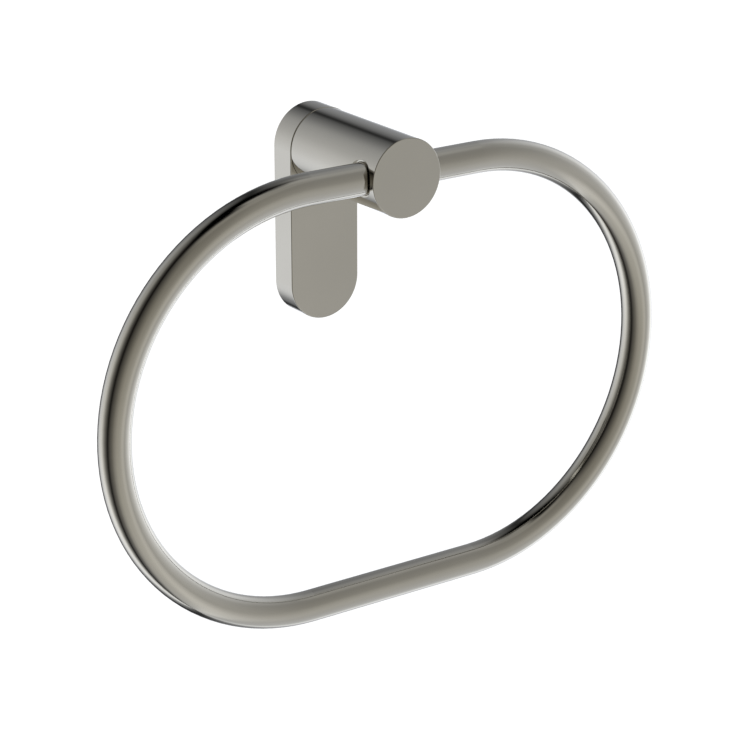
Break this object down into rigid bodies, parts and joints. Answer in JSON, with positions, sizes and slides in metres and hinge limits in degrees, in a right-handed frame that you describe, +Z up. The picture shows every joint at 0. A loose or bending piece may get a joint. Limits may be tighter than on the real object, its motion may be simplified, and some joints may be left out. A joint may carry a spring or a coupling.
{
  "type": "towel ring",
  "caption": "Wall-mounted towel ring: an oblong ring of round tube hangs in the cross bore of a round post on an upright plate with round ends, and swings out from the wall.",
  "frame": {"origin": "on the wall plane, midway between the two wall screw holes, at the centre of the wall plate", "axes": "+Z up, -Y away from the wall towards the user, +X to the right along the ring's longest side"},
  "size_m": [0.2504, 0.065, 0.1845],
  "materials": {
    "plate_finish": "satin warm grey metal",
    "post_finish": "satin warm grey metal",
    "ring_finish": "satin warm grey metal",
    "bush_finish": "satin warm grey metal",
    "screw_steel": "plain stainless steel",
    "spigot_brass": "bare turned brass",
    "bracket_zinc": "bare cast metal"
  },
  "bodies": {
    "holder": {"wall_plate": "plate_finish", "post": "post_finish", "bush_left": "bush_finish", "bush_right": "bush_finish", "post_screw": "screw_steel", "stop_screw": "screw_steel", "locating_pin": "screw_steel", "wall_bracket": "bracket_zinc", "grub_screw": "screw_steel"},
    "swing_ring": {"ring": "ring_finish", "spigot": "spigot_brass"}
  },
  "joints": [
    {"name": "ring_swing", "type": "hinge", "parent": "holder", "child": "swing_ring", "pos_m": [0, -0.0561, 0.02645], "axis": [-1, 0, 0], "range_deg": [-17, 197]}
  ]
}
